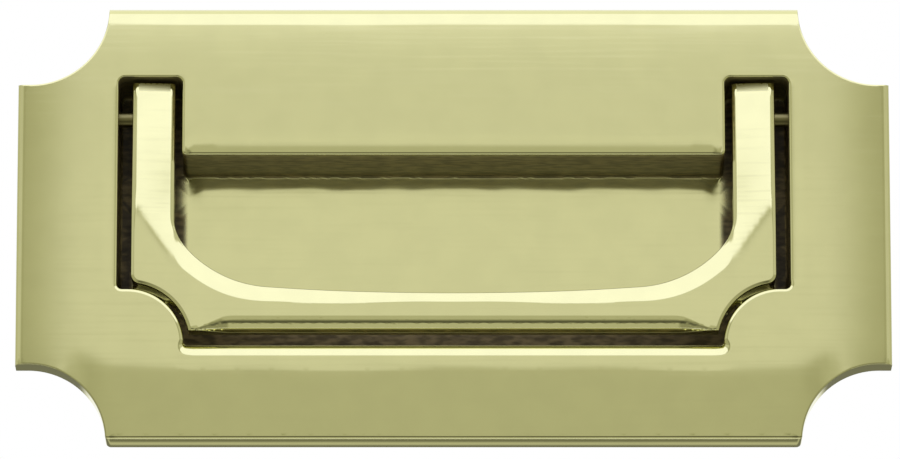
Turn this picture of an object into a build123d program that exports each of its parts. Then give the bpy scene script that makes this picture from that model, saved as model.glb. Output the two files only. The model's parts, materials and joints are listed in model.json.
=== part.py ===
from build123d import *
from math import cos, degrees, radians, sin, sqrt, tan
import os

# Recessed drawer pull: a cast brass backplate with a sunk pan, and a bail that swings out on two pins.
# Millimetres. The flange's back lies in the XZ plane, its front looks along -Y, and +Z is up as installed.

# Flange
plate_width = 101.6
plate_height = 52.3
plate_thickness = 3.8
edge_draft = 6.0
crown_radius = 600.0
long_edge_rounding = 1.6
side_edge_rounding = 0.8
scallop_radius = 9.1
scallop_shoulder = 1.4

# Recess, seen from the front
side_border = 11.7
bottom_border = 11.5
tongue_height = 18.2
corner_radius = 6.6
corner_shoulder = 1.2
slot_corner_rounding = 1.2
shoulder_corner_rounding = 0.8
tongue_corner_rounding = 1.4
foot_corner_rounding = 0.8
lip_rounding = 0.8

# Pan behind the flange
recess_depth = 10.4
wall = 2.0
floor_thickness = 2.0
pan_back_chamfer = 0.7

# Tapped bosses for the screws from inside the drawer
screw_spacing = 63.5
screw_height = -3.0
boss_radius = 4.0
boss_length = 5.0
tap_radius = 1.65
tap_depth = 6.0

# Pivot pins, driven in from the flange's side edges
pivot_depth = 2.6
pivot_drop = 13.4
pin_radius = 0.9
pin_running_clearance = 0.05
pin_end_clearance = 0.2
pin_inset = 0.4
pin_hole_depth = 4.0

# Bail arms and heels
arm_width = 4.95
arm_outer_gap = 1.65
arm_inner_gap = 0.9
arm_incline = 4.5
arm_thickness = 3.7
heel_height = 4.5
heel_gap = 0.4
heel_nose_rounding = 1.3
heel_back_rounding = 1.1

# Bail corners and crossbar
bail_face_drop = 0.1
bar_thickness = 4.2
bar_gap = 1.6
bail_corner_gap = 0.75
bend_level = 2.0
bend_blend = 9.0
bar_nose_rounding = 2.2
bar_back_rounding = 1.9
bail_shoulder_rounding = 1.1
bar_height = 4.55
upper_bend_radius = 5.0
upper_bend_turn = 40.0
lower_bend_radius = 14.0
bar_sag = 0.8
inner_edge_rounding = 1.0
outer_edge_rounding = 0.6
back_edge_chamfer = 0.4

# Rest posts under the bail's shoulders
post_side = 4.0
post_root = 3.0
post_clearance = 0.05

# Margin by which a cutting body passes the surface that it opens, and slack for picking faces by place
overcut = 1.0
slack = 0.01

# Places that follow from the sizes
recess_half_width = plate_width / 2 - side_border
well_bottom = bottom_border - plate_height / 2
tongue_edge = plate_height / 2 - tongue_height
corner_centre = recess_half_width - corner_shoulder
floor_y = recess_depth - plate_thickness
pan_back = floor_y + floor_thickness
pivot_y = pivot_depth - plate_thickness
pivot_z = plate_height / 2 - pivot_drop
arm_outer = recess_half_width - arm_outer_gap
arm_inner = arm_outer - arm_width
tongue_half_width = arm_inner - arm_inner_gap
heel_top = pivot_z + heel_height
slot_top = heel_top + heel_gap
bail_face = bail_face_drop - plate_thickness
bar_back = bail_face + bar_thickness
bail_bottom = well_bottom + bar_gap
pin_inner_end = arm_outer - pin_hole_depth + pin_end_clearance
pin_outer_end = plate_width / 2 - pin_inset


def recess_outline(plane, grow):
    """Well and two arm slots as one outline, or the pan's squarer outside when grown by the wall."""
    half_width = recess_half_width + grow
    top = slot_top + grow
    tongue_half = tongue_half_width - grow
    ledge = tongue_edge + grow
    bottom = well_bottom - grow
    radius = corner_radius - grow
    shoulder = corner_shoulder + grow
    with BuildSketch(plane) as outline:
        with Locations((0, (top + bottom) / 2)):
            Rectangle(2 * half_width, top - bottom)
        with Locations((0, (top + overcut + ledge) / 2)):
            Rectangle(2 * tongue_half, top + overcut - ledge, mode=Mode.SUBTRACT)
        with Locations((-corner_centre, well_bottom), (corner_centre, well_bottom)):
            Circle(radius, mode=Mode.SUBTRACT)
        step = well_bottom + radius - bottom
        step_x = half_width - shoulder / 2
        with Locations((-step_x, bottom + step / 2), (step_x, bottom + step / 2)):
            Rectangle(shoulder, step, mode=Mode.SUBTRACT)
        fillet(outline.vertices().group_by(Axis.Y)[-1], slot_corner_rounding + grow)
        if grow == 0:
            fillet(outline.vertices().group_by(Axis.Y)[0], foot_corner_rounding)
            sides = outline.vertices().group_by(Axis.X)
            shoulders = sides[0].sort_by(Axis.Y)[0:1] + sides[-1].sort_by(Axis.Y)[0:1]
            fillet(shoulders, shoulder_corner_rounding)
            corners = outline.vertices().filter_by_position(Axis.Y, ledge - slack, ledge + slack)
            fillet(corners, tongue_corner_rounding)
    return outline.sketch


with BuildPart() as backplate:
    with BuildSketch(Plane.XZ) as flange:
        Rectangle(plate_width, plate_height)
        with GridLocations(plate_width - 2 * scallop_shoulder, plate_height, 2, 2):
            Circle(scallop_radius, mode=Mode.SUBTRACT)
        with GridLocations(plate_width - scallop_shoulder, plate_height - scallop_radius, 2, 2):
            Rectangle(scallop_shoulder, scallop_radius, mode=Mode.SUBTRACT)
    extrude(amount=plate_thickness + overcut)
    edge_walls = backplate.faces().filter_by(Plane.XZ, reverse=True).filter_by(Plane.YZ, reverse=True)
    draft(edge_walls, Plane.XZ, edge_draft)
    # The polished face is crowned from top to bottom.
    half_span = plate_height / 2 + overcut
    crown_sag = crown_radius - sqrt(crown_radius**2 - half_span**2)
    with BuildSketch(Plane.YZ) as crown:
        with BuildLine():
            ThreePointArc(
                (crown_sag - plate_thickness, -half_span),
                (-plate_thickness, 0),
                (crown_sag - plate_thickness, half_span),
            )
            Polyline(
                (crown_sag - plate_thickness, half_span),
                (overcut, half_span),
                (overcut, -half_span),
                (crown_sag - plate_thickness, -half_span),
            )
        make_face()
    extrude(amount=plate_width / 2 + overcut, both=True, mode=Mode.INTERSECT)
    # Pan behind the flange, then the recess through both down to the floor.
    extrude(recess_outline(Plane.XZ, wall), amount=-pan_back)
    chamfer(backplate.faces().sort_by(Axis.Y)[-1].edges(), pan_back_chamfer)
    extrude(recess_outline(Plane.XZ.offset(-floor_y), 0), amount=recess_depth + overcut, mode=Mode.SUBTRACT)
    face = backplate.faces().filter_by(GeomType.CYLINDER).sort_by(SortBy.AREA)[-1]
    fillet(face.inner_wires()[0].edges(), lip_rounding)
    # Polished-over straight edges of the flange; the scallops stay crisp.
    face = backplate.faces().filter_by(GeomType.CYLINDER).sort_by(SortBy.AREA)[-1]
    rim = face.outer_wire().edges()
    long_edges = rim.group_by(Axis.Z)[0] + rim.group_by(Axis.Z)[-1]
    fillet(long_edges, long_edge_rounding)
    face = backplate.faces().filter_by(GeomType.CYLINDER).sort_by(SortBy.AREA)[-1]
    rim = face.outer_wire().edges()
    side_edges = rim.group_by(Axis.X)[0] + rim.group_by(Axis.X)[-1]
    fillet(side_edges, side_edge_rounding)
    # Posts in the lower corners that the bail's shoulders rest on, rooted halfway into the corner's wall.
    post_x = arm_outer - post_side / 2
    post_z = well_bottom + corner_radius + (post_side - post_root) / 2
    with BuildSketch(Plane.XZ.offset(-floor_y - overcut)) as posts:
        with Locations((-post_x, post_z), (post_x, post_z)):
            Rectangle(post_side, post_side + post_root)
        with Locations((-corner_centre, well_bottom), (corner_centre, well_bottom)):
            Circle(corner_radius - wall / 2, mode=Mode.SUBTRACT)
    extrude(amount=floor_y + overcut - bar_back - post_clearance)
    # Bosses on the pan's back, drilled and tapped from behind.
    with BuildSketch(Plane.XZ.offset(-floor_y - floor_thickness / 2)) as bosses:
        with Locations((-screw_spacing / 2, screw_height), (screw_spacing / 2, screw_height)):
            Circle(boss_radius)
    extrude(amount=-(boss_length + floor_thickness / 2))
    with BuildSketch(Plane.XZ.offset(-pan_back - boss_length)) as taps:
        with Locations((-screw_spacing / 2, screw_height), (screw_spacing / 2, screw_height)):
            Circle(tap_radius)
    extrude(amount=tap_depth, mode=Mode.SUBTRACT)
    # Holes for the pivot pins, drilled from the side edges through the flange into the slots.
    for end in (-plate_width / 2 - overcut, recess_half_width - overcut):
        with BuildSketch(Plane.YZ.offset(end)) as pin_hole:
            with Locations((pivot_y, pivot_z)):
                Circle(pin_radius)
        extrude(amount=side_border + 2 * overcut, mode=Mode.SUBTRACT)
backplate.part.label = "backplate"

# Side view of the bail: the arms lean back above the bend, and the bar and corners are level.
lean = tan(radians(arm_incline))
arm_depth = arm_thickness / cos(radians(arm_incline))
front_top = bail_face + (heel_top - bend_level) * lean
back_top = front_top + arm_depth
back_bend = bend_level + (bar_thickness - arm_depth) / lean

# Inner bends of the bail: the arms turn into the bar through two arcs, and the bar's upper edge sags a little.
upper_turn = radians(upper_bend_turn)
bar_half = arm_inner - upper_bend_radius - (lower_bend_radius - upper_bend_radius) * cos(upper_turn)
sag_turn = 2 * bar_sag / bar_half
upper_drop = upper_bend_radius * sin(upper_turn)
lower_drop = lower_bend_radius * (cos(sag_turn) - sin(upper_turn))
bend_start = bail_bottom + bar_height + bar_sag + upper_drop + lower_drop

with BuildPart() as bail:
    # Front view: a U with scalloped lower corners and swept inner bends.
    with BuildSketch(Plane.XZ.offset(-pan_back)) as outline:
        with Locations((0, (heel_top + bail_bottom) / 2)):
            Rectangle(2 * arm_outer, heel_top - bail_bottom)
        with Locations((-corner_centre, well_bottom), (corner_centre, well_bottom)):
            Circle(corner_radius + bail_corner_gap, mode=Mode.SUBTRACT)
        shoulders = outline.vertices().group_by(Axis.X)
        fillet(shoulders[0].sort_by(Axis.Y)[0:1] + shoulders[-1].sort_by(Axis.Y)[0:1], bail_shoulder_rounding)
        with BuildLine() as opening:
            down = Line((-arm_inner, heel_top + overcut), (-arm_inner, bend_start))
            upper_bend = JernArc(down @ 1, (0, -1), upper_bend_radius, upper_bend_turn)
            lower_turn = 90 - upper_bend_turn - degrees(sag_turn)
            lower_bend = JernArc(upper_bend @ 1, upper_bend % 1, lower_bend_radius, lower_turn)
            bar_end = lower_bend @ 1
            ThreePointArc(bar_end, (0, bar_end.Y - bar_sag), (-bar_end.X, bar_end.Y))
            mirror(down, about=Plane.YZ)
            mirror(upper_bend, about=Plane.YZ)
            mirror(lower_bend, about=Plane.YZ)
            Line((-arm_inner, heel_top + overcut), (arm_inner, heel_top + overcut))
        make_face(mode=Mode.SUBTRACT)
    extrude(amount=pan_back + plate_thickness + overcut)
    with BuildSketch(Plane.YZ) as side:
        with BuildLine():
            Polyline(
                (front_top, heel_top),
                (bail_face, bend_level),
                (bail_face, bail_bottom),
                (bar_back, bail_bottom),
                (bar_back, back_bend),
                (back_top, heel_top),
                close=True,
            )
        make_face()
        bends = side.vertices().sort_by(Axis.Y)[2:4]
        fillet(bends, bend_blend)
        foot = side.vertices().group_by(Axis.Y)[0].sort_by(Axis.X)
        fillet(foot[0], bar_nose_rounding)
        fillet(foot[-1], bar_back_rounding)
        heel = side.vertices().group_by(Axis.Y)[-1].sort_by(Axis.X)
        fillet(heel[0], heel_nose_rounding)
        fillet(heel[-1], heel_back_rounding)
    extrude(amount=arm_outer + overcut, both=True, mode=Mode.INTERSECT)
    # Front edges polished over round the opening and the outside; back edges only broken.
    walls = bail.faces().filter_by(lambda f: abs(f.normal_at().Y) < 0.001)
    opening_walls = walls.filter_by(
        lambda f: abs(f.center().X) < arm_inner + slack and f.center().Z > bail_bottom + slack
    )
    opening_edges = opening_walls.edges().filter_by(Axis.Y, reverse=True)
    fillet(opening_edges.filter_by(lambda e: e.center().Y < pivot_y), inner_edge_rounding)
    walls = bail.faces().filter_by(lambda f: abs(f.normal_at().Y) < 0.001)
    outer_walls = walls.filter_by(lambda f: abs(f.center().X) > arm_inner + slack and f.center().Z < pivot_z)
    outer_edges = outer_walls.edges().filter_by(Axis.Y, reverse=True)
    fillet(outer_edges.filter_by(lambda e: e.center().Y < pivot_y), outer_edge_rounding)
    walls = bail.faces().filter_by(lambda f: abs(f.normal_at().Y) < 0.001)
    back_edges = walls.edges().filter_by(Axis.Y, reverse=True).filter_by(lambda e: e.center().Y > pivot_y)
    chamfer(back_edges, back_edge_chamfer)
    # Running holes for the pins, blind from the arms' outer sides.
    for end in (-arm_outer - overcut, arm_outer - pin_hole_depth):
        with BuildSketch(Plane.YZ.offset(end)) as pin_bore:
            with Locations((pivot_y, pivot_z)):
                Circle(pin_radius + pin_running_clearance)
        extrude(amount=pin_hole_depth + overcut, mode=Mode.SUBTRACT)
bail.part.label = "bail"

with BuildPart() as pivot_pin_right:
    with BuildSketch(Plane.YZ.offset(pin_inner_end)) as pin_section:
        with Locations((pivot_y, pivot_z)):
            Circle(pin_radius)
    extrude(amount=pin_outer_end - pin_inner_end)
pivot_pin_right.part.label = "pivot_pin_right"

with BuildPart() as pivot_pin_left:
    mirror(pivot_pin_right.part, about=Plane.YZ)
pivot_pin_left.part.label = "pivot_pin_left"

os.makedirs("parts", exist_ok=True)
export_step(backplate.part, "parts/backplate.step")
export_step(bail.part, "parts/bail.step")
export_step(pivot_pin_left.part, "parts/pivot_pin_left.step")
export_step(pivot_pin_right.part, "parts/pivot_pin_right.step")
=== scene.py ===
import json
from math import atan2, ceil, cos, hypot, pi, radians, sin, sqrt, tan

import bmesh
import bpy
import numpy as np
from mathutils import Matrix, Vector, kdtree
from mathutils.geometry import delaunay_2d_cdt


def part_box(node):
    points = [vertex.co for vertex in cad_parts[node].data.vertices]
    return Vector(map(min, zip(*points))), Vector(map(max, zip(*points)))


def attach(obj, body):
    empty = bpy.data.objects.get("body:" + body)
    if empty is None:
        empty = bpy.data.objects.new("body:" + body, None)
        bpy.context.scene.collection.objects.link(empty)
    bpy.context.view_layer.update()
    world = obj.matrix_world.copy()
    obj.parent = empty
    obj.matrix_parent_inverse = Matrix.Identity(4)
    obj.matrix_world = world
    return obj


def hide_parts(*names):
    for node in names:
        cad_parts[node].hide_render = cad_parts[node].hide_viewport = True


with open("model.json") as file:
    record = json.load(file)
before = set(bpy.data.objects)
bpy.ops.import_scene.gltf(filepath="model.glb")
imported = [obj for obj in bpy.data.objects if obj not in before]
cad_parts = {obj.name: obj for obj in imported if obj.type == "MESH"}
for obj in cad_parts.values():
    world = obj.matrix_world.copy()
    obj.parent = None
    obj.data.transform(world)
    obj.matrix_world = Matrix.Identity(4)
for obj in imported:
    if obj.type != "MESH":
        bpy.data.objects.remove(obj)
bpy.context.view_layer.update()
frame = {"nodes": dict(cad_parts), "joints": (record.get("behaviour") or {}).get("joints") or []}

# A recessed drawer pull: the polished casting and its swinging handle, in place of the plain solids.
# Sizes are millimetres, as the casting is drawn; meshes are made in metres.
MM = 0.001
plate_low, plate_high = (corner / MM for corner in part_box("backplate"))
bail_low, bail_high = (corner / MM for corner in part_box("bail"))
half_width = plate_high.x
half_height = plate_high.z
thickness = -plate_low.y

# Flange
crown_radius = 600.0
edge_slope = tan(radians(6.0))
long_rounding = {1: 2.1, -1: 0.5}
side_rounding = 0.8
scallop_radius = 9.1
scallop_shoulder = 1.4
scallop_slope = tan(radians(0.5))
upper_draft = 0.18
horn_rounding = {1: 0.35, -1: 0.65}
edge_break = 0.08
back_margin = 0.25
back_rim = 0.04
lower_border = 8.3
lower_border_blend = 1.2
scallop_border = 3.2
scallop_border_blend = 3.0
scallop_border_fade = 7.0, 3.5
lower_tilt = tan(radians(1.9))
border_wander = 0.4
rounding_wander = 0.05
side_roll_width = 8.0
side_roll_drop = 0.19

# Recess
recess_half = 39.1
well_bottom = -14.65
tongue_edge = 7.95
tongue_half = 31.6
slot_top = 17.4
bulge_radius = 6.6
bulge_centre = 37.9
foot_rounding = 0.3
shoulder_rounding = 0.6
slot_rounding = 0.8
tongue_rounding = 0.5
# Lip of the recess by stretch: round edge, then width and drop of the soft roll-off before it.
lips = {
    "bottom": (1.5, 1.6, 0.0),
    "bulge": (0.45, 0.8, 0.0),
    "side": (0.25, 1.5, 0.06),
    "slot": (0.2, 0.7, 0.01),
    "tongue_side": (0.25, 0.7, 0.0),
    "tongue": (0.40, 2.6, 0.15),
}
lip_blend = 0.25
lip_turn = radians(50.0)
lip_corner = 0.15
floor_y = 6.6
floor_fillet = 0.25
floor_wave = 0.007
floor_dish = 0.16
floor_dish_width = 5.0

# How much cast skin is left: 0 is polished, 1 plain cast skin, 2 near-black painted shade for deep slots
# and hollows, and -1 filed.
# Values above 1 are painted shade: the bulge and side walls, the slots' floor and the sill are darkened
# where they lie deep.
wall_skin_and_shade = {"bottom": 0.9, "bulge": 1.3, "side": 1.2, "slot": 0.8, "tongue_side": 1.0, "tongue": 0.9}
slot_skin_and_shade = 1.6
sill_skin_and_shade = 1.05
sill_reach = 9.0, 11.5
flange_back_skin = 0.5
pan_skin = 0.55
bail_back_skin = 0.4
bore_skin = 0.8

# Pan seen from behind
wall = 2.0
pan_back = 8.6
pan_edge = 0.7
screw_x = 31.75
screw_z = -3.0
boss_radius = 4.0
boss_end = plate_high.y
boss_edge = 0.4
tap_radius = 1.65
tap_depth = 6.0
tap_edge = 0.3
drill_tip = 0.6
drill_point = 0.02
thread_pitch = 0.7
thread_height = 0.18

# Rest posts
post_inner = 33.45
post_outer = 37.4
post_high = -4.05
post_front = 0.55
post_edge = 0.35
post_clear = 5.63
post_sink = 0.4
post_step = 0.4

# Bail
arm_outer = bail_high.x
arm_inner = 32.5
heel_top = bail_high.z - 0.3
bail_bottom = bail_low.z
bail_face = bail_low.y
bar_back = 0.5
arm_back_level = 8.2
bend_level = 2.0
bend_twist = 7.2
bend_untwist = 1.8
bend_blend = 2.2
arm_slope = tan(radians(4.5))
upper_bend = 5.0
upper_turn = 40.0
lower_bend = 14.0
bar_sag = 0.8
bar_height = 4.55
bail_scallop = 7.35
shoulder_corner = 1.1
nose_radius = 1.72
nose_turn = radians(31.0)
nose_roll = nose_radius * sin(nose_turn)
nose_facet = 0.57
nose_facet_slope = tan(radians(42.0))
nose_under = 0.31
nose_under_slope = tan(radians(65.0))
nose_height = nose_roll + nose_facet + nose_under
nose_fade = 5.0
bar_back_rounding = 1.9
heel_facet = 1.05
heel_slope = 0.2
heel_blend = 0.25
heel_back = 1.1
bail_back_edge = 0.4
edge_turn = radians(38.0)
edge_start = radians(5.5)
edge_corner = 0.22
edge_growth = 0.8, 4.2

# Hinge
pivot = [value / MM for value in frame["joints"][0]["pos_m"]]
bore_radius = 0.93
bore_end = 33.4

# Mesh fineness
FINE = 0.35
LONG = 0.8
GRID = 1.0
JOIN = 1e-5
SMOOTH = 0.9998
SHARP = radians(38.0)
# Distances of the rows of mesh points beside the recess's lip, and on the floor below the tongue
LIP_SEEDS = 0.12, 0.35, 0.7, 1.1, 1.6
FLOOR_SEEDS = 0.4, 0.55, 0.75, 1.0, 1.3, 1.6, 2.0, 2.5, 3.0, 3.6, 4.2, 4.8


def add_point(points, x, z, normal, run):
    """Adds an outline point; one that repeats the last place becomes a corner with two normals."""
    if points and hypot(points[-1][0] - x, points[-1][1] - z) < JOIN:
        sides = points[-1][2]
        nx, nz, old = sides[-1]
        if nx * normal[0] + nz * normal[1] < SMOOTH or old != run:
            sides.append((normal[0], normal[1], run))
        return
    points.append((x, z, [(normal[0], normal[1], run)]))


def line(points, run, start, end, step):
    """A straight run with the air on its left."""
    dx, dz = end[0] - start[0], end[1] - start[1]
    length = hypot(dx, dz)
    count = max(1, ceil(length / step))
    for k in range(count + 1):
        t = k / count
        add_point(points, start[0] + dx * t, start[1] + dz * t, (-dz / length, dx / length), run)


def arc(points, run, centre, radius, first, last, step):
    """A round run with the air on its left, from one angle in degrees to another."""
    turn = 1 if last > first else -1
    count = max(3, ceil(radius * radians(abs(last - first)) / step))
    for k in range(count + 1):
        a = radians(first + (last - first) * k / count)
        place = centre[0] + radius * cos(a), centre[1] + radius * sin(a)
        add_point(points, *place, (-turn * cos(a), -turn * sin(a)), run)


def both_halves(half):
    """Closes a right half, drawn from the middle to the middle, with its mirror image."""
    mirrored = []
    for x, z, sides in reversed(half[1:-1]):
        mirrored.append((-x, z, [(-nx, nz, run) for nx, nz, run in reversed(sides)]))
    return half + mirrored


def inset(point, depth):
    """An outline point moved into the metal by depth(run) along each of its normals."""
    x, z, sides = point
    ax, az, a = sides[0]
    if len(sides) == 2:
        bx, bz, b = sides[1]
        det = ax * bz - az * bx
        if abs(det) > 0.02:
            da, db = depth(a), depth(b)
            return x - (da * bz - db * az) / det, z - (ax * db - bx * da) / det
    return x - ax * depth(a), z - az * depth(a)


class Shell:
    """Collects the patches of one piece of metal and turns them into a mesh."""

    def __init__(self):
        self.points = []
        self.faces = []
        self.cast_and_shade = []

    def patch(self, points, faces, cast_and_shade):
        base = len(self.points)
        self.points.extend(points)
        self.faces.extend([base + i for i in face] for face in faces)
        self.cast_and_shade.extend(cast_and_shade if hasattr(cast_and_shade, "__len__") else [cast_and_shade] * len(points))

    def band(self, columns, cast_and_shade, closed=True):
        """A strip through columns of points that all have the same length."""
        rows = len(columns[0])
        count = len(columns)
        faces = []
        for i in range(count if closed else count - 1):
            a, b = i * rows, (i + 1) % count * rows
            for k in range(rows - 1):
                faces.append((a + k, b + k, b + k + 1, a + k + 1))
        masks = [cast_and_shade(i, k) if callable(cast_and_shade) else cast_and_shade for i in range(count) for k in range(rows)]
        self.patch([p for column in columns for p in column], faces, masks)

    def fill(self, loops, seeds, height, cast_and_shade):
        """A face between closed loops of points, with seeds inside it; height(x, z) gives their y."""
        loops = [np.array(loop, float) for loop in loops]
        flat_loops = [loop[:, ::2] for loop in loops]
        rim = np.concatenate(loops)
        tree = kdtree.KDTree(len(rim))
        for i, (x, _, z) in enumerate(rim):
            tree.insert((x, z, 0), i)
        tree.balance()
        seeds = np.array(seeds, float).reshape(-1, 3)
        if len(seeds):
            seeds = seeds[inside(seeds[:, :2], flat_loops)]
        places = [Vector((x, z)) for x, _, z in rim]
        for x, z, room in seeds:
            if tree.find((x, z, 0))[2] > room:
                places.append(Vector((x, z)))
        edges = []
        base = 0
        for loop in loops:
            edges += [(base + i, base + (i + 1) % len(loop)) for i in range(len(loop))]
            base += len(loop)
        made = delaunay_2d_cdt(places, edges, [], 0, 1e-7)
        flat = np.array([tuple(p) for p in made[0]])
        faces = np.array(made[2])
        faces = faces[inside(flat[faces].mean(1), flat_loops)]
        points = []
        for (x, z), sources in zip(flat, made[3]):
            known = [i for i in sources if i < len(rim)]
            points.append(tuple(rim[known[0]]) if known else (x, height(x, z), z))
        mask = [cast_and_shade(x, z) for x, z in flat] if callable(cast_and_shade) else cast_and_shade
        self.patch(points, faces.tolist(), mask)

    def mesh(self, name):
        data = bpy.data.meshes.new(name)
        work = bmesh.new()
        # The cast mark per point: cast skin from 0 to 1, painted shade from 1 to 2, filed at -1.
        layer = work.verts.layers.float.new("cast_and_shade")
        verts = []
        for place, cast_and_shade in zip(self.points, self.cast_and_shade):
            vert = work.verts.new([value * MM for value in place])
            vert[layer] = cast_and_shade
            verts.append(vert)
        for face in self.faces:
            work.faces.new([verts[i] for i in face])
        bmesh.ops.remove_doubles(work, verts=work.verts, dist=2e-7)
        bmesh.ops.dissolve_degenerate(work, edges=work.edges, dist=1e-8)
        loose = [v for v in work.verts if not v.link_faces]
        bmesh.ops.delete(work, geom=loose, context="VERTS")
        bmesh.ops.recalc_face_normals(work, faces=work.faces)
        work.to_mesh(data)
        work.free()
        return smooth(data)


def smooth(data):
    """Smooth shading, with a crease where faces meet at more than the sharp angle."""
    data.polygons.foreach_set("use_smooth", [True] * len(data.polygons))
    data.set_sharp_from_angle(angle=SHARP)
    return data


def inside(places, loops):
    """Which places lie inside an odd number of the loops."""
    odd = np.zeros(len(places), bool)
    px, pz = places[:, 0], places[:, 1]
    for loop in loops:
        nxt = np.roll(loop, -1, 0)
        for (ax, az), (bx, bz) in zip(loop, nxt):
            if az == bz:
                continue
            crosses = (az > pz) != (bz > pz)
            odd ^= crosses & (px < (bx - ax) * (pz - az) / (bz - az) + ax)
    return odd


def ease(value, low, high):
    t = min(max((value - low) / (high - low), 0.0), 1.0)
    return t * t * (3 - 2 * t)


def rounded(over, radius):
    """Drop of a round edge, a distance past its start."""
    if over <= 0:
        return 0.0
    return radius - sqrt(max(radius * radius - over * over, 0.0))


def grid(width, low, high, step, room):
    """Seed points over a rectangle, each with the room it needs from a rim."""
    across = np.linspace(-width, width, int(2 * width / step) + 1)
    up = np.linspace(low, high, int((high - low) / step) + 1)
    return [(x, z, room) for x in across for z in up]


# Flange: its outline at the back, and the height of its polished face.
flange = []
scallop_x = half_width - scallop_shoulder
ledge = half_height - scallop_radius
horn_x = {}
horn_turn = {}
for end, radius in horn_rounding.items():
    horn_x[end] = scallop_x - sqrt((scallop_radius + radius) ** 2 - radius ** 2)
    horn_turn[end] = atan2(radius, scallop_x - horn_x[end]) * 180 / pi
upper_horn = horn_x[1], half_height - horn_rounding[1]
lower_horn = horn_x[-1], horn_rounding[-1] - half_height
line(flange, "long", (0, half_height), (horn_x[1], half_height), LONG)
arc(flange, "horn", upper_horn, horn_rounding[1], 90, horn_turn[1], 0.06)
arc(flange, "scallop", (scallop_x, half_height), scallop_radius, 180 + horn_turn[1], 270, 0.25)
line(flange, "scallop", (scallop_x, ledge), (half_width, ledge), FINE)
line(flange, "side", (half_width, ledge), (half_width, -ledge), LONG)
line(flange, "scallop", (half_width, -ledge), (scallop_x, -ledge), FINE)
arc(flange, "scallop", (scallop_x, -half_height), scallop_radius, 90, 180 - horn_turn[-1], 0.25)
arc(flange, "horn", lower_horn, horn_rounding[-1], -horn_turn[-1], -90, 0.06)
line(flange, "long", (horn_x[-1], -half_height), (0, -half_height), LONG)
flange = both_halves(flange)

long_turn = pi / 2 - radians(6.0)
long_inset = {}
long_start = {}
for end, radius in long_rounding.items():
    fall = half_height ** 2 / (2 * crown_radius) + radius * (1 - cos(long_turn))
    long_inset[end] = (thickness - fall) * edge_slope
    long_start[end] = half_height - long_inset[end] - radius * sin(long_turn)
side_start = half_width - side_rounding


def past(distance, blend):
    """Grows from zero at a soft crease as the distance falls below nought."""
    if distance >= blend / 2:
        return 0.0
    if distance <= -blend / 2:
        return -distance
    return (blend / 2 - distance) ** 2 / (2 * blend)


def wander(x):
    """Hand polishing lets the borders of the worked stretches wander a little, between -1 and 1."""
    return 0.6 * sin(0.13 * x + 0.5) + 0.4 * sin(0.31 * x + 2.0)


def front(x, z):
    """The flange's face: crown, polished roll-off towards the borders and round edges."""
    y = -thickness + z * z / (2 * crown_radius) + lip_roll(x, z)
    drift = wander(x)
    x = abs(x)
    from_low = past(z + half_height - lower_border - border_wander * drift, lower_border_blend)
    from_scallop = hypot(x - scallop_x, z + half_height) - scallop_radius
    from_scallop = past(from_scallop - scallop_border, scallop_border_blend)
    fade_start, fade_end = scallop_border_fade
    from_scallop *= 1 - 0.8 * ease(x, scallop_x - fade_start, scallop_x - fade_end)
    y += lower_tilt * (from_low ** 3 + from_scallop ** 3) ** (1 / 3)
    near = max(0.0, 1 - (half_width - x) / side_roll_width)
    y += side_roll_drop * near * near
    end = 1 if z > 0 else -1
    over = abs(z) - long_start[end]
    over -= rounding_wander * drift * (long_rounding[end] - over)
    y += rounded(over, long_rounding[end])
    return y + rounded(x - side_start, side_rounding)


EDGE_WALL_ROWS = 9


def flange_column(point):
    """One line from the flange's face over its edge and down its wall to the back."""
    end = 1 if point[1] > 0 else -1
    share = ease(abs(point[2][0][1]), 0.0, 1.0)
    slope = scallop_slope
    for _, nz, run in point[2]:
        if run == "scallop" and end > 0:
            slope += upper_draft * abs(nz)
    lead = {"long": long_inset[end], "side": 0.0, "scallop": edge_break + slope * thickness}
    y = 0.0
    for _ in range(4):
        lead["horn"] = lead["scallop"] + (lead["long"] - lead["scallop"]) * share
        x, z = inset(point, lambda run: lead[run])
        y = front(x, z)
        lead["scallop"] = edge_break - slope * y
    rows = [(x, y, z)]

    def add_row(level, rim, margin=0.0):
        part = level / y
        bulge = long_inset[end] * part * (1 + 5 * part) / 6
        depth = {"long": bulge + margin, "side": margin, "scallop": rim + margin - slope * level}
        depth["horn"] = depth["scallop"] + (depth["long"] - depth["scallop"]) * share
        px, pz = inset(point, lambda run: depth[run])
        rows.append((px, level, pz))

    for k in range(1, 5):
        a = pi / 2 * k / 4
        add_row(y + edge_break * (1 - cos(a)), edge_break * (1 - sin(a)))
    low = y + edge_break
    for k in range(1, EDGE_WALL_ROWS):
        add_row(low * (1 - k / EDGE_WALL_ROWS), 0.0)
    add_row(-back_rim, 0.0)
    add_row(0.0, 0.0)
    add_row(0.0, 0.0, back_margin)
    return rows


# Recess: its outline, with the lip, wall and floor swept along it.
recess = []
foot_x = bulge_centre - sqrt((bulge_radius + foot_rounding) ** 2 - foot_rounding ** 2)
foot_turn = -atan2(foot_rounding, bulge_centre - foot_x) * 180 / pi
shoulder = well_bottom + bulge_radius
line(recess, "bottom", (0, well_bottom), (foot_x, well_bottom), LONG)
arc(recess, "bottom", (foot_x, well_bottom + foot_rounding), foot_rounding, -90, -45, 0.08)
arc(recess, "bulge", (foot_x, well_bottom + foot_rounding), foot_rounding, -45, foot_turn, 0.08)
arc(recess, "bulge", (bulge_centre, well_bottom), bulge_radius, 180 + foot_turn, 90, 0.25)
line(recess, "bulge", (bulge_centre, shoulder), (recess_half - shoulder_rounding, shoulder), 0.25)
corner = recess_half - shoulder_rounding, shoulder + shoulder_rounding
arc(recess, "bulge", corner, shoulder_rounding, -90, 0, 0.15)
slot_high = slot_top - slot_rounding
line(recess, "side", (recess_half, corner[1]), (recess_half, slot_high), 0.5)
arc(recess, "slot", (recess_half - slot_rounding, slot_high), slot_rounding, 0, 90, 0.15)
inner_corner = tongue_half + slot_rounding
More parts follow.
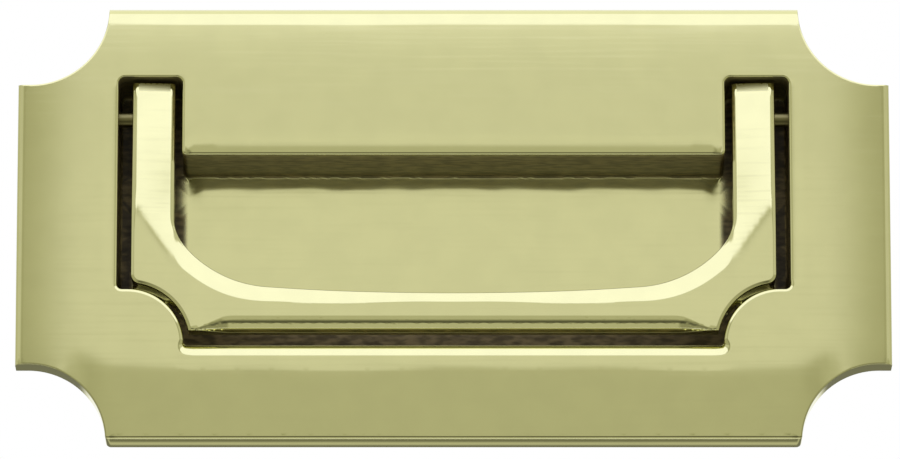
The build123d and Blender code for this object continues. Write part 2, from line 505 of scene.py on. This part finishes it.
line(recess, "slot", (recess_half - slot_rounding, slot_top), (inner_corner, slot_top), FINE)
arc(recess, "slot", (inner_corner, slot_high), slot_rounding, 90, 180, 0.15)
tongue_corner = tongue_half - tongue_rounding, tongue_edge + tongue_rounding
line(recess, "tongue_side", (tongue_half, slot_high), (tongue_half, tongue_corner[1]), FINE)
arc(recess, "tongue_side", tongue_corner, tongue_rounding, 0, -90, 0.15)
line(recess, "tongue", (tongue_corner[0], tongue_edge), (0, tongue_edge), 0.6)
recess = [(x, z, sides[:1]) for x, z, sides in both_halves(recess)]

# The lip's sizes change softly from stretch to stretch.
rim_from = np.array([point[:2] for point in recess])
rim_step = np.roll(rim_from, -1, 0) - rim_from
rim_length = np.hypot(*rim_step.T)
rim_place = np.concatenate([[0.0], np.cumsum(rim_length)[:-1]])
rim_total = rim_length.sum()
rim_apart = np.abs(rim_place[:, None] - rim_place[None, :])
rim_apart = np.minimum(rim_apart, rim_total - rim_apart)
rim_weight = np.exp(-(rim_apart / lip_blend) ** 2) * (rim_length + np.roll(rim_length, 1))[None, :]
rim_weight /= rim_weight.sum(1, keepdims=True)
lip_sizes = rim_weight @ np.array([lips[point[2][0][2]] for point in recess])


def lip_roll(x, z, slope=False):
    """Drop of the polished roll-off beside the recess, or its slope."""
    from_x, from_z = rim_from.T
    step_x, step_z = rim_step.T
    along = ((x - from_x) * step_x + (z - from_z) * step_z) / rim_length ** 2
    along = np.clip(along, 0, 1)
    gap = np.hypot(from_x + along * step_x - x, from_z + along * step_z - z)
    i = int(np.argmin(gap))
    j = (i + 1) % len(recess)
    _, width, drop = lip_sizes[i] + (lip_sizes[j] - lip_sizes[i]) * along[i]
    near = max(0.0, 1 - gap[i] / width)
    return 2 * drop / width * near if slope else drop * near * near


BEVEL_ROWS = 9
LIP_ROWS = 14
WALL_ROWS = 8
FILLET_ROWS = 5


def recess_column(index, point):
    """One line from the flange's face over the lip, down the wall and onto the floor."""
    lip = lip_sizes[index][0]
    x, z = inset(point, lambda run: lip)
    first = atan2(lip_roll(x, z, True), 1)
    y = front(x, z)
    rows = [(x, y, z)]
    tight = lip * lip_corner
    bend = (lip - tight) / (sin(lip_turn) - sin(first))
    for k in range(1, BEVEL_ROWS + 1):
        a = first + (lip_turn - first) * k / BEVEL_ROWS
        px, pz = inset(point, lambda run: tight + bend * (sin(lip_turn) - sin(a)))
        rows.append((px, y + bend * (cos(first) - cos(a)), pz))
    level = rows[-1][1]
    bend = tight / (1 - sin(lip_turn))
    for k in range(BEVEL_ROWS + 1, LIP_ROWS + 1):
        a = lip_turn + (pi / 2 - lip_turn) * (k - BEVEL_ROWS) / (LIP_ROWS - BEVEL_ROWS)
        px, pz = inset(point, lambda run: bend * (1 - sin(a)))
        rows.append((px, level + bend * (cos(lip_turn) - cos(a)), pz))
    top = rows[-1][1]
    rim = inset(point, lambda run: -floor_fillet)
    low = floor_height(*rim) - floor_fillet
    for k in range(1, WALL_ROWS + 1):
        level = top + (low - top) * k / WALL_ROWS
        ripple = 0.03 * sin(0.9 * point[0] + 1.7 * point[1] + 2.1 * level) * sin(pi * k / WALL_ROWS)
        px, pz = inset(point, lambda run: ripple)
        rows.append((px, level, pz))
    for k in range(1, FILLET_ROWS + 1):
        a = pi / 2 * k / FILLET_ROWS
        px, pz = inset(point, lambda run: -floor_fillet * (1 - cos(a)))
        rows.append((px, low + floor_fillet * sin(a), pz))
    return rows


def floor_height(x, z):
    """The floor was polished by hand: it rises towards the tongue and waves a little."""
    edge = ease(min(z - well_bottom, tongue_edge - z, recess_half - abs(x)), 0.25, 4.0)
    dish = max(0.0, 1 - max(tongue_edge - z, 0.0) / floor_dish_width)
    dish *= 1 - ease(abs(x), tongue_half - 2.4, tongue_half + 0.6)
    x = abs(x)
    wave = sin(0.71 * x + 0.9 * z) + sin(0.37 * x - 0.63 * z + 1.0) + 0.5 * sin(1.3 * x + 2.0)
    return floor_y - floor_wave * edge * wave - floor_dish * dish * dish


def floor_skin_and_shade(x, z):
    """The floor is polished only where a wheel can reach it, not under the bail; in the slots and at the
    sill painted shade darkens it further.
    """
    in_slot = slot_skin_and_shade * ease(abs(x), tongue_half - 0.4, arm_inner)
    return max(in_slot, sill_skin_and_shade * ease(-z, *sill_reach))


backplate = Shell()
flange_rows = [flange_column(point) for point in flange]
recess_rows = [recess_column(i, point) for i, point in enumerate(recess)]
last_row = len(flange_rows[0]) - 1
backplate.band(flange_rows, lambda index, row: flange_back_skin if row == last_row else 0.0)


def recess_skin_light_and_shade(index, row):
    """The lip is polished; the wall below it keeps its cast skin, with painted shade darkest in the slots
    and painted light making it lighter near the floor.
    """
    full = wall_skin_and_shade[recess[index][2][0][2]]
    # Painted light: less skin, so a lighter colour, towards the floor.
    painted_light_low = 1 - 0.15 * ease(row, LIP_ROWS + 2.0, LIP_ROWS + 9.0)
    return full * painted_light_low * ease(row, LIP_ROWS - 2.0, LIP_ROWS + 1.0)


backplate.band(recess_rows, recess_skin_light_and_shade)

seeds = grid(side_start - 0.9, -long_start[-1] + 0.3, long_start[1] - 0.3, GRID, 0.55)
for k in range(10):
    for end in (-1, 1):
        rise = end * (long_start[end] + long_rounding[end] * sin(long_turn * k / 10))
        steps = ceil(horn_x[end] / LONG)
        seeds += [(horn_x[end] * i / steps, rise, 0.02) for i in range(-steps, steps + 1)]
side_step = 2 * ledge / ceil(2 * ledge / LONG)
for k in range(-2, 9):
    out = side_start + side_rounding * sin(pi / 2 * k / 9)
    for i in range(1, int(2 * ledge / side_step)):
        z = -ledge + i * side_step
        if abs(z) < ledge - 0.2:
            seeds += [(out, z, 0.005), (-out, z, 0.005)]
for point, (lip, width, drop) in zip(recess, lip_sizes):
    for beyond in LIP_SEEDS:
        x, z = inset(point, lambda run: lip + beyond)
        past_corner = 0.0 < lip + beyond - tongue_rounding < 3.0
        if past_corner and hypot(abs(x) - tongue_half, z - tongue_edge) < 4.0:
            continue
        seeds.append((x, z, 0.1 if beyond < 0.2 else 0.2))
for point, rows in zip(flange, flange_rows):
    if point[2][0][2] in ("scallop", "horn") and len(point[2]) == 1:
        nx, nz, _ = point[2][0]
        seeds.append((rows[0][0] - nx * 0.12, rows[0][2] - nz * 0.12, 0.1))
flange_rim = [rows[0] for rows in flange_rows]
recess_rim = [rows[0] for rows in recess_rows]
backplate.fill([flange_rim, recess_rim], seeds, front, 0.0)
floor_rim = [rows[-1] for rows in recess_rows]
seeds = grid(recess_half, well_bottom, tongue_edge - floor_dish_width - 0.5, GRID, 0.6)
slots = grid(recess_half, tongue_edge, slot_top, GRID, 0.6)
seeds += [seed for seed in slots if abs(seed[0]) > tongue_half]
floor_steps = ceil(tongue_corner[0] / 0.6)
for beyond in FLOOR_SEEDS:
    for i in range(-floor_steps, floor_steps + 1):
        seeds.append((tongue_corner[0] * i / floor_steps, tongue_edge - beyond, 0.1))
backplate.fill([floor_rim], seeds, floor_height, floor_skin_and_shade)

# Pan: its outline from behind, with the bosses and their tapped holes.
pan = []
pan_low = well_bottom - wall
pan_notch = tongue_edge + wall
pan_in = tongue_half - wall
pan_out = recess_half + wall
pan_corner = slot_rounding + wall
pan_bulge = bulge_radius - wall
pan_tip = bulge_centre - sqrt(pan_bulge ** 2 - wall ** 2), pan_low
pan_dip = radians(10.0)
pan_hollow = bulge_centre - pan_bulge * cos(pan_dip), well_bottom - pan_bulge * sin(pan_dip)
line(pan, "pan", (0, pan_notch), (pan_in, pan_notch), LONG)
line(pan, "pan", (pan_in, pan_notch), (pan_in, slot_high), LONG)
arc(pan, "pan", (pan_in + pan_corner, slot_high), pan_corner, 180, 90, FINE)
pan_top = slot_high + pan_corner
line(pan, "pan", (pan_in + pan_corner, pan_top), (pan_out - pan_corner, pan_top), LONG)
arc(pan, "pan", (pan_out - pan_corner, slot_high), pan_corner, 90, 0, FINE)
line(pan, "pan", (pan_out, slot_high), (pan_out, well_bottom + pan_bulge), LONG)
line(pan, "pan", (pan_out, well_bottom + pan_bulge), (bulge_centre, well_bottom + pan_bulge), 1.2)
arc(pan, "pan", (bulge_centre, well_bottom), pan_bulge, 90, 190, FINE)
line(pan, "pan", pan_hollow, pan_tip, 2.0)
line(pan, "pan", pan_tip, (0, pan_low), 1.2)
pan = both_halves(pan)


def pan_column(point):
    """One line down the pan's outside and round its back edge."""
    levels = [(0.0, 0.0), (2.6, 0.0), (5.3, 0.0)]
    for k in range(5):
        a = pi / 2 * k / 4
        levels.append((pan_back - pan_edge + pan_edge * sin(a), pan_edge * (1 - cos(a))))
    rows = []
    for level, depth in levels:
        x, z = inset(point, lambda run: depth)
        rows.append((x, level, z))
    return rows


pan_rows = [pan_column(point) for point in pan]
backplate.band(pan_rows, pan_skin)
flange_back = [rows[-1] for rows in flange_rows]
pan_root = [rows[0] for rows in pan_rows]
seeds = grid(half_width, -half_height, half_height, 2.5, 1.2)
backplate.fill([flange_back, pan_root], seeds, lambda x, z: 0.0, flange_back_skin)

BOSS_SIDES = 48
THREAD_ROWS = 60


def ring(centre, radius, level):
    """Points of a circle round a boss's axis."""
    turns = [2 * pi * i / BOSS_SIDES for i in range(BOSS_SIDES)]
    return [(centre + radius * cos(a), level, screw_z + radius * sin(a)) for a in turns]


def thread_ring(centre, row):
    """A loop of the tapped hole; the thread's ridge winds round it and fades out at both ends."""
    deep = (tap_depth - 2 * tap_edge) * row / THREAD_ROWS
    fade = min(1, row / 4, (THREAD_ROWS - row) / 4)
    loop = []
    for i in range(BOSS_SIDES):
        a = 2 * pi * i / BOSS_SIDES
        radius = tap_radius - thread_height * fade * (1 - cos(2 * pi * deep / thread_pitch + a)) / 2
        loop.append((centre + radius * cos(a), boss_end - tap_edge - deep, screw_z + radius * sin(a)))
    return loop


boss_loops = []
for centre in (-screw_x, screw_x):
    rings = [ring(centre, boss_radius, pan_back)]
    rings.append(ring(centre, boss_radius, boss_end - boss_edge))
    rings.append(ring(centre, boss_radius - boss_edge, boss_end))
    rings.append(ring(centre, tap_radius + tap_edge, boss_end))
    rings.append(ring(centre, tap_radius, boss_end - tap_edge))
    rings += [thread_ring(centre, row) for row in range(1, THREAD_ROWS + 1)]
    rings.append(ring(centre, drill_point, boss_end - tap_depth - drill_tip))
    backplate.band([list(column) for column in zip(*rings)], flange_back_skin)
    backplate.patch(rings[-1], [list(range(BOSS_SIDES))], flange_back_skin)
    boss_loops.append(rings[0])
pan_rim = [rows[-1] for rows in pan_rows]
seeds = grid(pan_out, pan_low, slot_top, 2.0, 1.0)
backplate.fill([pan_rim, *boss_loops], seeds, lambda x, z: pan_back, pan_skin)

# Bail: outline, front and back heights, and edges that are rounder along the bends.
bail = []
turn_end = radians(upper_turn)
sag_lean = 2 * bar_sag / (arm_inner - upper_bend - (lower_bend - upper_bend) * cos(turn_end))
bar_end_z = bail_bottom + bar_height + bar_sag
bend_start = bar_end_z + upper_bend * sin(turn_end) + lower_bend * (cos(sag_lean) - sin(turn_end))
arc_one = arm_inner - upper_bend, bend_start
arc_one_end = arc_one[0] + upper_bend * cos(turn_end), arc_one[1] - upper_bend * sin(turn_end)
arc_two = arc_one_end[0] - lower_bend * cos(turn_end), arc_one_end[1] + lower_bend * sin(turn_end)
bar_turn = atan2(sqrt(lower_bend ** 2 - (bar_end_z - arc_two[1]) ** 2), arc_two[1] - bar_end_z) * 180 / pi
bar_end = arc_two[0] + lower_bend * sin(radians(bar_turn))
sag_radius = (bar_end ** 2 + bar_sag ** 2) / (2 * bar_sag)
sag_turn = atan2(bar_end, sag_radius - bar_sag) * 180 / pi
sag_centre = 0, bar_end_z - bar_sag + sag_radius
arc(bail, "inner", sag_centre, sag_radius, -90, -90 + sag_turn, LONG)
bail.pop()
arc(bail, "inner", arc_two, lower_bend, -90 + bar_turn, -upper_turn, 0.5)
bail.pop()
arc(bail, "inner", arc_one, upper_bend, -upper_turn, 0, FINE)
line(bail, "inner", (arm_inner, bend_start), (arm_inner, heel_top), 0.6)
line(bail, "heel", (arm_inner, heel_top), (arm_outer, heel_top), 0.71)
corner_x = arm_outer - shoulder_corner
reach = bail_scallop + shoulder_corner
corner_z = well_bottom + sqrt(reach ** 2 - (bulge_centre - corner_x) ** 2)
corner_turn = -atan2(corner_z - well_bottom, bulge_centre - corner_x) * 180 / pi
line(bail, "outer", (arm_outer, heel_top), (arm_outer, corner_z), 0.6)
arc(bail, "outer", (corner_x, corner_z), shoulder_corner, 0, corner_turn, 0.15)
tip_rise = bail_bottom - well_bottom
tip_turn = atan2(tip_rise, sqrt(bail_scallop ** 2 - tip_rise ** 2)) * 180 / pi
arc(bail, "outer", (bulge_centre, well_bottom), bail_scallop, 180 + corner_turn, 180 - tip_turn, 0.25)
tip_x = bulge_centre - bail_scallop * cos(radians(tip_turn))
line(bail, "nose", (tip_x, bail_bottom), (0, bail_bottom), LONG)
bail = both_halves(bail)


def lean(x, z):
    """How far the arms lie back; their plane turns inwards near the bends and meets the bar softly."""
    share = (arm_outer - abs(x)) / (arm_outer - arm_inner)
    if share > 0.8:
        share = 1.0 if share > 1.2 else share - (share - 0.8) ** 2 / 0.8
    level = bend_level - (bend_twist - bend_untwist * ease(z, 0.0, 12.0)) * share
    return arm_slope * past(level - z, bend_blend)


def nose_share(x):
    """The bar's lower front is worked away in the middle and whole at the ends."""
    return 0.06 + 0.94 * ease(tip_x - abs(x), 0.0, nose_fade)


def nose(x, z):
    """Depth of the round and the two filed facets along the bar's lower front."""
    share = nose_share(x)
    over = (bail_bottom - z) / share + nose_height
    depth = rounded(min(over, nose_roll), nose_radius)
    depth += nose_facet_slope * min(max(over - nose_roll, 0.0), nose_facet)
    return share * (depth + nose_under_slope * max(over - nose_roll - nose_facet, 0.0))


def bail_front(x, z):
    y = bail_face + lean(x, z) + nose(x, z)
    return y + heel_slope * past(heel_top - heel_facet - z, heel_blend)


def bail_rear(x, z):
    """The bar's back is flat; the arms' back follows their front."""
    y = bar_back + max(z - arm_back_level, 0.0) * arm_slope
    y -= rounded(bail_bottom + bar_back_rounding - z, bar_back_rounding)
    return y - rounded(z - heel_top + heel_back, heel_back)


def edge_width(run, x, z):
    """Width of the soft bevel that polishing left along an edge, widest on the bends' inner side."""
    if run == "inner":
        bar = 0.95 + 0.65 * ease(abs(x), 3.0, 18.0) + 0.35 * ease(abs(x), 19.0, 27.0)
        return 0.3 + (bar - 0.3) * ease(-z, *edge_growth)
    return 0.12 + 0.3 * ease(z, -2.0, 4.0) if run == "outer" else 0.0


EDGE_ROWS = 14


def bail_column(point):
    """One line from the bail's front over its edge, down its side and onto its back."""
    x0, z0, sides = point
    soft = {run: edge_width(run, x0, z0) for _, _, run in sides}
    tight = {run: edge_corner if soft[run] else 0.03 for run in soft}
    wide = max(soft.values())
    corner = max(tight.values())
    x, z = inset(point, lambda run: soft[run] + tight[run])
    y = bail_front(x, z)
    rows = [(x, y, z)]
    first = edge_start * ease(-z0, *edge_growth) if "inner" in soft else 0.0
    reach = sin(edge_turn) - sin(first)
    for k in range(1, 9):
        a = first + (edge_turn - first) * k / 8
        part = (sin(edge_turn) - sin(a)) / reach
        px, pz = inset(point, lambda run: soft[run] * part + tight[run])
        rows.append((px, y + wide / reach * (cos(first) - cos(a)), pz))
    level = rows[-1][1]
    for k in range(1, EDGE_ROWS - 7):
        a = edge_turn + (pi / 2 - edge_turn) * k / (EDGE_ROWS - 8)
        part = (1 - sin(a)) / (1 - sin(edge_turn))
        px, pz = inset(point, lambda run: tight[run] * part)
        rows.append((px, level + corner * (cos(edge_turn) - cos(a)), pz))
    back = {run: bail_back_edge if soft[run] else 0.03 for run in soft}
    bx, bz = inset(point, lambda run: back[run])
    rear = bail_rear(bx, bz)
    start = rows[-1][1]
    end = max(rear - max(back.values()), start + 0.01)
    for k in range(1, 5):
        rows.append((x0, start + (end - start) * k / 4, z0))
    for k in range(1, 4):
        a = pi / 2 * k / 3
        px, pz = inset(point, lambda run: back[run] * (1 - cos(a)))
        rows.append((px, end + (rear - end) * sin(a), pz))
    return rows


def heel_skin(x, z):
    """The arms' ends are filed and not polished."""
    return -ease(z, heel_top - heel_facet - 0.1, heel_top - heel_facet + 0.1)


bail_shell = Shell()
bail_rows = [bail_column(point) for point in bail]
bail_shell.band(bail_rows, lambda index, row: bail_back_skin * ease(row, EDGE_ROWS, EDGE_ROWS + 6))
seeds = grid(arm_outer, bail_bottom, heel_top, 0.7, 0.4)
for side in (-1, 1):
    for k in range(11):
        rise = heel_top - 0.05 - 1.2 * k / 10
        seeds += [(side * (arm_inner + 0.3 * i), rise, 0.05) for i in range(1, 17)]
nose_rows = [nose_roll * k / 7 for k in range(7)] + [nose_roll - 0.02, nose_roll + 0.02]
nose_rows += [nose_roll + nose_facet * k / 3 for k in (1, 2)]
nose_rows += [nose_roll + nose_facet - 0.02, nose_roll + nose_facet + 0.02, nose_height - 0.15]
for over in nose_rows:
    for i in range(-61, 62):
        rise = (nose_height - over) * nose_share(i * 0.5)
        seeds.append((i * 0.5, bail_bottom + rise, 0.02))
for point in bail:
    if len(point[2]) == 1 and point[2][0][2] in ("inner", "outer"):
        beyond = edge_width(point[2][0][2], *point[:2]) + edge_corner + 0.12
        seeds.append((*inset(point, lambda run: beyond), 0.08))
bail_shell.fill([[rows[0] for rows in bail_rows]], seeds, bail_front, heel_skin)
seeds = grid(arm_outer, bail_bottom, heel_top, 1.0, 0.5)
bail_shell.fill([[rows[-1] for rows in bail_rows]], seeds, bail_rear, bail_back_skin)


def tool(name, data):
    """A helper body that is joined to a piece or cut out of it."""
    made = bpy.data.objects.new(name, data)
    bpy.context.scene.collection.objects.link(made)
    return made


def worked(data, steps):
    """A mesh after its helper bodies were joined or cut, with the helpers removed again."""
    made = bpy.data.objects.new(data.name + "_raw", data)
    bpy.context.scene.collection.objects.link(made)
    for helper, operation in steps:
        modifier = made.modifiers.new(helper.name, "BOOLEAN")
        modifier.operation = operation
        modifier.solver = "EXACT"
        modifier.object = helper
    bpy.context.view_layer.update()
    ready = made.evaluated_get(bpy.context.evaluated_depsgraph_get())
    result = bpy.data.meshes.new_from_object(ready)
    for helper, _ in steps:
        bpy.data.objects.remove(helper)
    bpy.data.objects.remove(made)
    return smooth(result)


def post(side):
    """A rest for the bail's shoulder, standing on the floor against the round wall."""
    outline = []
    low = well_bottom + sqrt(post_clear ** 2 - (bulge_centre - post_outer) ** 2)
    first = atan2(low - well_bottom, post_outer - bulge_centre) * 180 / pi
    foot = well_bottom + sqrt(post_clear ** 2 - (bulge_centre - post_inner) ** 2)
    last = atan2(foot - well_bottom, post_inner - bulge_centre) * 180 / pi
    line(outline, "post", (post_inner, post_high), (post_outer, post_high), post_step)
    line(outline, "post", (post_outer, post_high), (post_outer, low), post_step)
    arc(outline, "post", (bulge_centre, well_bottom), post_clear, first, last, post_step)
    line(outline, "post", (post_inner, foot), (post_inner, post_high), post_step)
    x, z, sides = outline.pop()
    outline[0] = (x, z, sides + outline[0][2])
    levels = []
    for k in range(5):
        a = pi / 2 * k / 4
        levels.append((post_front + post_edge * (1 - cos(a)), post_edge * (1 - sin(a))))
    levels += [(3.0, 0.0), (floor_y + post_sink, 0.0)]
    rows = []
    for point in outline:
        column = []
        for level, depth in levels:
            x, z = inset(point, lambda run: depth)
            column.append((side * x, level, z))
        rows.append(column)
    made = Shell()
    made.band(rows, 1.0)
    made.fill([[column[0] for column in rows]], [], lambda x, z: post_front, 0.6)
    made.fill([[column[-1] for column in rows]], [], lambda x, z: floor_y + post_sink, 1.0)
    return made.mesh("post")


BORE_SIDES = 36


def bore(side, first, last):
    """A round body along the hinge's axis."""
    made = Shell()
    rows = []
    for i in range(BORE_SIDES):
        a = 2 * pi * (i + 0.3) / BORE_SIDES
        y, z = pivot[1] + bore_radius * cos(a), pivot[2] + bore_radius * sin(a)
        rows.append([(side * first, y, z), (side * last, y, z)])
    made.band(rows, bore_skin)
    for end in (0, 1):
        made.patch([column[end] for column in rows], [list(range(BORE_SIDES))], bore_skin)
    return made.mesh("bore")


def piece(name, data, body, slot_name, material, *nodes):
    """A finished mesh in place of its CAD nodes."""
    made = bpy.data.objects.new(name, data)
    bpy.context.scene.collection.objects.link(made)
    made.data.materials.append(material)
    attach(made, body)
    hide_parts(*nodes)
    return made


class Signal:
    """A shader socket that can stand in a Python expression; each operator is one Math node."""

    def __init__(self, recipe, socket):
        self.recipe = recipe
        self.socket = socket

    def maths(self, operation, *values):
        return self.recipe.node("ShaderNodeMath", {"operation": operation}, dict(enumerate(values)))

    def __add__(self, other):
        return self.maths("ADD", self, other)

    def __radd__(self, other):
        return self.maths("ADD", other, self)

    def __sub__(self, other):
        return self.maths("SUBTRACT", self, other)

    def __rsub__(self, other):
        return self.maths("SUBTRACT", other, self)

    def __mul__(self, other):
        return self.maths("MULTIPLY", self, other)

    def __rmul__(self, other):
        return self.maths("MULTIPLY", other, self)

    def __truediv__(self, other):
        return self.maths("DIVIDE", self, other)

    def __rtruediv__(self, other):
        return self.maths("DIVIDE", other, self)

    def __pow__(self, other):
        return self.maths("POWER", self, other)

    def between(self, low, high):
        """0 below low, 1 above high, a soft step between them."""
        sockets = {"Value": self, "From Min": low, "From Max": high}
        return self.recipe.node("ShaderNodeMapRange", {"interpolation_type": "SMOOTHSTEP"}, sockets)


class Recipe:
    """Adds nodes to a shader tree."""

    def __init__(self, tree):
        self.tree = tree
        tree.nodes.clear()

    def node(self, kind, settings, sockets, out=0):
        made = self.tree.nodes.new(kind)
        for name, value in settings.items():
            setattr(made, name, value)
        for name, value in sockets.items():
            target = made.inputs[name]
            if isinstance(value, Signal):
                self.tree.links.new(value.socket, target)
            else:
                target.default_value = value
        return Signal(self, made.outputs[out]) if made.outputs else None

    def mix(self, factor, first, second):
        """A colour between two colours."""
        return self.node("ShaderNodeMix", {"data_type": "RGBA"}, {0: factor, 6: first, 7: second}, 2)

    def stretched(self, place, scale):
        """Coordinates for a texture that is drawn out along an axis."""
        return self.node("ShaderNodeVectorMath", {"operation": "MULTIPLY"}, {0: place, 1: scale})


POLISHED = 0.80, 0.79, 0.40
DRAWN = 0.24, 0.22, 0.09
CAST_DARK = 0.12, 0.094, 0.04, 1
CAST_LIGHT = 0.30, 0.235, 0.105, 1
# Near-black painted shade for the deep slots and hollows.
PAINTED_SHADE = 0.04, 0.035, 0.024, 1


def brass(name, base, roughness):
    """Polished brass that turns to dull cast skin, and on to near-black painted shade, where the cast
    mark on the mesh says so.
    """
    material = bpy.data.materials.new(name)
    material.use_nodes = True
    recipe = Recipe(material.node_tree)
    place = recipe.node("ShaderNodeTexCoord", {}, {}, "Object")
    cast_and_shade = recipe.node("ShaderNodeAttribute", {"attribute_name": "cast_and_shade"}, {}, "Fac")
    skin = cast_and_shade.between(0.0, 1.0)
    # Cast values from 1 to 2 paint shade: they darken the colour towards the painted shade colour.
    painted_shade = cast_and_shade.between(1.0, 2.0)
    brushed = recipe.stretched(place, (60.0, 900.0, 2600.0))
    streaks = recipe.node("ShaderNodeTexNoise", {}, {"Vector": brushed, "Scale": 1.0, "Detail": 3.0})
    cloud = recipe.node("ShaderNodeTexNoise", {}, {"Vector": place, "Scale": 260.0, "Detail": 4.0})
    scraped = recipe.stretched(place, (500.0, 1500.0, 1500.0))
    grain = recipe.node("ShaderNodeTexNoise", {}, {"Vector": scraped, "Scale": 1.0, "Detail": 5.0})
    rough_cast = recipe.mix(grain.between(0.35, 0.65), CAST_DARK, CAST_LIGHT)
    cast_and_painted_shade = recipe.mix(painted_shade, rough_cast, PAINTED_SHADE)
    tone = recipe.mix(cloud.between(0.3, 0.7), (*[c * 0.97 for c in base], 1), (*base, 1))
    colour = recipe.mix(skin, tone, cast_and_painted_shade)
    filed = 1 - cast_and_shade.between(-1.0, 0.0)
    rough = roughness + 0.04 * streaks.between(0.45, 0.75) + skin * 0.35 + filed * 0.3
    height = streaks * 0.012 * (1 - skin) + grain * skin * 3.0
    bump = recipe.node("ShaderNodeBump", {}, {"Strength": 0.35, "Distance": 0.00002, "Height": height})
    shader = recipe.node("ShaderNodeBsdfPrincipled", {}, {
        "Base Color": colour, "Metallic": 1 - 0.7 * skin, "Roughness": rough, "Normal": bump,
    })
    recipe.node("ShaderNodeOutputMaterial", {}, {"Surface": shader})
    return material


plate_brass = brass("plate_brass", POLISHED, 0.08)
bail_brass = brass("bail_brass", POLISHED, 0.08)
pin_brass = brass("pin_brass", DRAWN, 0.32)

plate_steps = []
bail_steps = []
for side in (-1, 1):
    plate_steps.append((tool("post", post(side)), "UNION"))
    plate_steps.append((tool("bore", bore(side, recess_half - 0.6, half_width + 0.7)), "DIFFERENCE"))
    bail_steps.append((tool("bore", bore(side, bore_end, arm_outer + 0.6)), "DIFFERENCE"))
casting = worked(backplate.mesh("casting"), plate_steps)
handle = worked(bail_shell.mesh("swing_handle"), bail_steps)
piece("casting", casting, "plate", "backplate_brass", plate_brass, "backplate")
piece("swing_handle", handle, "swing_bail", "bail_brass", bail_brass, "bail")
for node in ("pivot_pin_left", "pivot_pin_right"):
    pin = frame["nodes"][node]
    for pin_slot in pin.material_slots:
        pin_slot.material = pin_brass

# Floor, light and camera.
floor_mesh = bpy.data.meshes.new("studio_floor")
floor_half = 0.6
floor_level = -1.0
floor_front = -0.25
floor_back = 0.35
floor_corners = [(-floor_half, floor_front), (floor_half, floor_front)]
floor_corners += [(floor_half, floor_back), (-floor_half, floor_back)]
floor_mesh.from_pydata([(x, y, floor_level) for x, y in floor_corners], [], [(0, 1, 2, 3)])
studio_floor = bpy.data.objects.new("studio_floor", floor_mesh)
bpy.context.scene.collection.objects.link(studio_floor)
pale = bpy.data.materials.new("pale_floor")
pale.use_nodes = True
pale.node_tree.nodes["Principled BSDF"].inputs["Base Color"].default_value = (0.85, 0.85, 0.84, 1)
pale.node_tree.nodes["Principled BSDF"].inputs["Roughness"].default_value = 0.8
floor_mesh.materials.append(pale)

world = bpy.data.worlds.new("studio")
world.use_nodes = True
bpy.context.scene.world = world
sky = Recipe(world.node_tree)
direction = sky.node("ShaderNodeTexCoord", {}, {}, "Generated")
across, away, up = (sky.node("ShaderNodeSeparateXYZ", {}, {0: direction}, axis) for axis in "XYZ")
sideways = (across * across) ** 0.5
shade = up.between(-0.9, -0.72) * (1 - up.between(-0.58, -0.25)) * (1 - sideways.between(0.15, 0.35))
below = 0.52 - 0.4 * shade
panel = 0.24 * up.between(0.137, 0.16) - 0.04 * up.between(0.255, 0.29)
softbox = (up - 0.35 * across * across).between(0.33, 0.366)
dim = 0.42 * sideways.between(0.03, 0.15) - 0.25 * sideways.between(0.35, 0.6)
room = (below + panel) * (1 - dim * (1 - softbox)) + 0.57 * softbox
behind = away.between(-0.05, 0.05)
low = 0.19 + 0.34 * up.between(-0.57, -0.48) - 0.34 * up.between(-0.44, -0.35)
upright = behind * up.between(0.0, 0.12) * (1 - 0.7 * sideways.between(0.25, 0.5))
studio = room * (1 - behind) + low * behind + 0.6 * upright
# The backdrop is white to the camera, and to metal where it stands behind the object.
camera_ray = sky.node("ShaderNodeLightPath", {}, {}, "Is Camera Ray")
glossy_ray = sky.node("ShaderNodeLightPath", {}, {}, "Is Glossy Ray")
through_ray = sky.node("ShaderNodeLightPath", {}, {}, "Is Transmission Ray")
white = camera_ray + (glossy_ray + through_ray) * upright
level = studio * (1 - white) + white
warm = sky.mix(room.between(0.40, 0.72) * (1 - behind), (1.0, 0.99, 0.78, 1), (1.0, 0.99, 0.97, 1))
cool = sky.mix(room.between(0.85, 1.2) * (1 - behind), warm, (0.97, 0.97, 1.18, 1))
tint = sky.mix(white, cool, (1, 1, 1, 1))
light = sky.node("ShaderNodeBackground", {}, {"Color": tint, "Strength": level})
sky.node("ShaderNodeOutputWorld", {}, {"Surface": light})

view_tilt = radians(14.0)
view_distance = 1.0
view_width = 0.10462
aim = Vector((-0.42, -3.0, -0.89)) * MM
camera_data = bpy.data.cameras.new("camera")
camera_data.sensor_width = 36.0
camera_data.lens = 36.0 * view_distance / view_width
camera = bpy.data.objects.new("camera", camera_data)
bpy.context.scene.collection.objects.link(camera)
camera.location = aim + Vector((0, -cos(view_tilt), -sin(view_tilt))) * view_distance
camera.rotation_euler = (pi / 2 + view_tilt, 0, 0)
bpy.context.scene.camera = camera
bpy.context.scene.view_settings.view_transform = "Standard"
